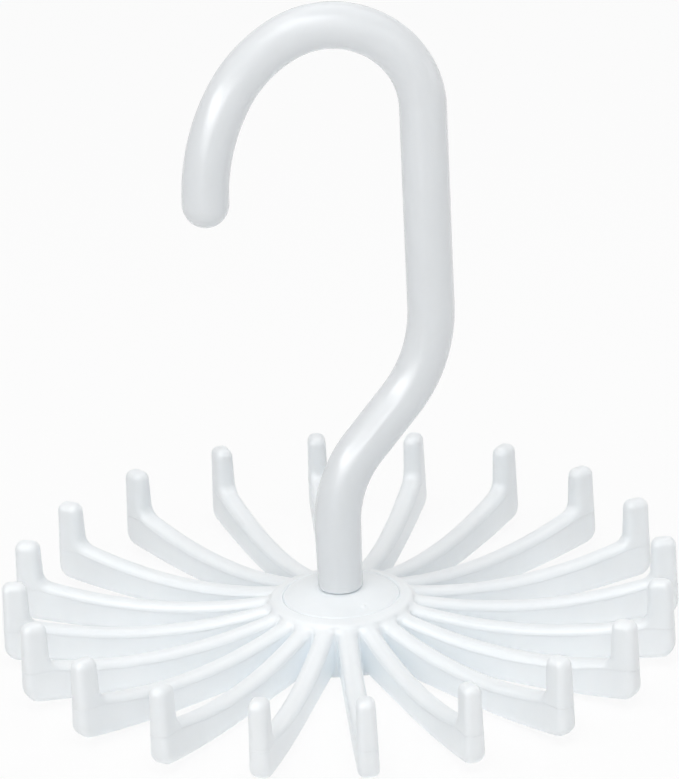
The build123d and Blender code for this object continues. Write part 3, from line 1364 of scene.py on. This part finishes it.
@dataclass(frozen=True)
class Lamp:
    """A soft box round the object. Its share is the level that it gives a white surface that faces it."""

    name: str
    azimuth_deg: float
    elevation_deg: float
    share: float
    width_mm: float = 800.0
    height_mm: float = 800.0
    work: LampWork = LampWork.BOTH
    distance_mm: float = 1400.0
    roll_deg: float = 0.0

    def switch_on(self, aim: Vector) -> None:
        """Makes the lamp.

        Args:
            aim: the point that it faces, in metres.
        """
        data = bpy.data.lights.new(self.name, "AREA")
        data.shape = "RECTANGLE"
        data.size = self.width_mm * MM
        data.size_y = self.height_mm * MM
        distance = self.distance_mm * MM
        # An even box of this power lights a white surface that faces it to the level of its share.
        data.energy = self.share * math.pi**2 * distance**2
        a, e = math.radians(self.azimuth_deg), math.radians(self.elevation_deg)
        away = Vector((math.sin(a) * math.cos(e), -math.cos(a) * math.cos(e), math.sin(e)))
        lamp = bpy.data.objects.new(self.name, data)
        lamp.visible_camera = False
        lamp.visible_diffuse, lamp.visible_glossy = self.work.value
        lamp.location = aim + away * distance
        roll = Matrix.Rotation(math.radians(self.roll_deg), 3, away)
        lamp.rotation_euler = (roll @ (-away).to_track_quat("-Z", "Y").to_matrix()).to_euler()
        bpy.context.scene.collection.objects.link(lamp)


@dataclass
class Studio:
    """The camera at the photograph's angle, the soft boxes, the pale floor and the white surroundings."""

    aim_x: float = 1.5
    aim_z: float = 52.97
    distance: float = 1115.6
    elevation_deg: float = 22.33
    roll_deg: float = -2.66
    focal_px: float = 5917.7
    sensor_mm: float = 36.0
    floor_size: float = 8000.0
    floor_level: float = -0.05
    floor_colour: Colour = (0.90, 0.90, 0.90, 1.0)
    floor_glow: float = 0.88
    clip_m: Pair = (0.05, 50.0)
    light_bounces: int = 12
    lamps: tuple[Lamp, ...] = (
        Lamp("low_right", 90.0, 6.0, 0.08, 800.0, 500.0),
        Lamp("low_back_right", 140.0, 4.0, 0.10, 800.0, 500.0, LampWork.DIFFUSE),
        Lamp("side_left", -90.0, 30.0, 0.10),
        Lamp("front_left", -45.0, 30.0, 0.17),
        Lamp("front", 0.0, 30.0, 0.13),
        Lamp("front_right", 45.0, 30.0, 0.10),
        Lamp("back_right", 135.0, 30.0, 0.08, work=LampWork.DIFFUSE),
        Lamp("top_back", 180.0, 60.0, 0.11, 700.0, 700.0),
        Lamp("top_back_left", -120.0, 60.0, 0.10, 700.0, 700.0),
        Lamp("top_left", -60.0, 60.0, 0.12, 700.0, 700.0),
        Lamp("top_front", 0.0, 61.0, 0.31, 700.0, 700.0, LampWork.DIFFUSE),
        Lamp("top_right", 60.0, 60.0, 0.12, 700.0, 700.0, LampWork.DIFFUSE),
        Lamp("top_back_right", 120.0, 60.0, 0.06, 700.0, 700.0),
        Lamp("under", 0.0, -70.0, 0.10, 900.0, 900.0, LampWork.DIFFUSE),
        Lamp("window_left", -48.0, 3.8, 0.70, 1700.0, 200.0, LampWork.GLOSS, 1300.0, -22.0),
        Lamp("window_high", -35.0, 55.0, 0.35, 1000.0, 700.0, LampWork.GLOSS, 1300.0),
    )

    def camera(self) -> None:
        """Sets up the camera."""
        data = bpy.data.cameras.new("camera")
        data.sensor_width = self.sensor_mm
        data.lens = self.focal_px * self.sensor_mm / LONG_SIDE_PX
        data.clip_start, data.clip_end = self.clip_m
        tilt, roll = math.radians(self.elevation_deg), math.radians(self.roll_deg)
        ahead = Vector((0.0, math.cos(tilt), -math.sin(tilt)))
        level = Vector((1.0, 0.0, 0.0))
        upward = level.cross(ahead)
        right = level * math.cos(roll) + upward * math.sin(roll)
        up = upward * math.cos(roll) - level * math.sin(roll)
        turn = Matrix((right, up, -ahead)).transposed()
        camera = bpy.data.objects.new("camera", data)
        aim = Vector((self.aim_x, 0.0, self.aim_z)) * MM
        camera.matrix_world = Matrix.Translation(aim - ahead * self.distance * MM) @ turn.to_4x4()
        bpy.context.scene.collection.objects.link(camera)
        bpy.context.scene.camera = camera

    @staticmethod
    def seen_directly(graph: NodeGraph) -> Signal:
        """Tells rays from the camera, from gloss and through glass from light that shines on things.

        Args:
            graph: the graph of a material or of the world.

        Returns:
            1 for the first kind of ray and 0 for the second.
        """
        rays = ("Is Camera Ray", "Is Glossy Ray", "Is Transmission Ray")
        camera, glossy, through = (graph.node("ShaderNodeLightPath", output=ray) for ray in rays)
        return 1 - (1 - camera) * (1 - glossy) * (1 - through)

    def surroundings(self) -> None:
        """Makes the surroundings white to look at, without any light from them on things."""
        world = bpy.data.worlds.new("surroundings")
        world.use_nodes = True
        graph = NodeGraph(world.node_tree)
        graph.tree.nodes.clear()
        white = graph.node("ShaderNodeBackground", inputs={"Color": WHITE, "Strength": 1.0})
        mixed = graph.node("ShaderNodeMixShader", inputs={0: self.seen_directly(graph), 2: white})
        graph.node("ShaderNodeOutputWorld", inputs={"Surface": mixed})
        bpy.context.scene.world = world

    def floor(self) -> None:
        """Lays the pale floor, which keeps a faint shadow and is clear to the eye and the lamp below it."""
        graph = SurfaceGraph("floor_pale")
        paper = graph.node("ShaderNodeBsdfDiffuse", inputs={"Color": self.floor_colour})
        white = graph.node("ShaderNodeEmission", inputs={"Color": WHITE, "Strength": 1.0})
        glow = self.seen_directly(graph) * self.floor_glow
        lit = graph.node("ShaderNodeMixShader", inputs={0: glow, 1: paper, 2: white})
        clear = graph.node("ShaderNodeBsdfTransparent")
        from_below = graph.node("ShaderNodeNewGeometry", output="Backfacing")
        to_lamp = graph.node("ShaderNodeLightPath", output="Is Shadow Ray")
        see_through = 1 - (1 - from_below) * (1 - to_lamp)
        finish = graph.close(graph.node("ShaderNodeMixShader", inputs={0: see_through, 1: lit, 2: clear}))
        half, level = self.floor_size / 2, self.floor_level
        corners = [(-half, -half, level), (half, -half, level), (half, half, level), (-half, half, level)]
        floor = mesh_object("floor", np.array(corners), [(0, 1, 2, 3)])
        floor.data.materials.append(finish)

    def build(self) -> None:
        """Sets up the whole studio."""
        self.camera()
        self.surroundings()
        self.floor()
        aim = Vector((0.0, 0.0, self.aim_z)) * MM
        for lamp in self.lamps:
            lamp.switch_on(aim)
        bpy.context.scene.view_settings.view_transform = "Standard"
        bpy.context.scene.cycles.diffuse_bounces = self.light_bounces
        bpy.context.scene.cycles.max_bounces = self.light_bounces
        log.info("studio: %d soft boxes", len(self.lamps))


def main() -> None:
    """Builds the studio and the sub-assemblies in order, and reports each piece."""
    logging.basicConfig(level=logging.INFO, format="%(name)s %(message)s")
    wheel_white = MouldedPlastic(
        "wheel_white",
        tint=(0.911, 0.94, 0.958, 1.0),
        shade=(0.891, 0.924, 0.946, 1.0),
    )
    bush_white = MouldedPlastic(
        "bush_white",
        tint=(0.90, 0.932, 0.953, 1.0),
        shade=(0.88, 0.917, 0.941, 1.0),
    )
    # The hook's tint is darker than the wheel's. This is painted shade: it stands in for the lower light
    # that falls on the hook.
    hook_white = MouldedPlastic(
        "hook_white",
        tint=(0.80, 0.825, 0.845, 1.0),
        shade=(0.785, 0.81, 0.83, 1.0),
        gloss_roughness=0.19,
        haze=0.06,
        scatter=0.1,
    )
    Studio().build()
    assemblies = (
        TieWheel(wheel_white),
        SwivelBush(bush_white),
        Hook(hook_white),
        Retainer(ZincPlate("washer_zinc"), ZincPlate("screw_zinc", gloss_roughness=0.3)),
    )
    for assembly in assemblies:
        for piece in assembly.build():
            log.info("%s: %d faces", piece.name, len(piece.data.polygons))


if __name__ == "__main__":
    main()
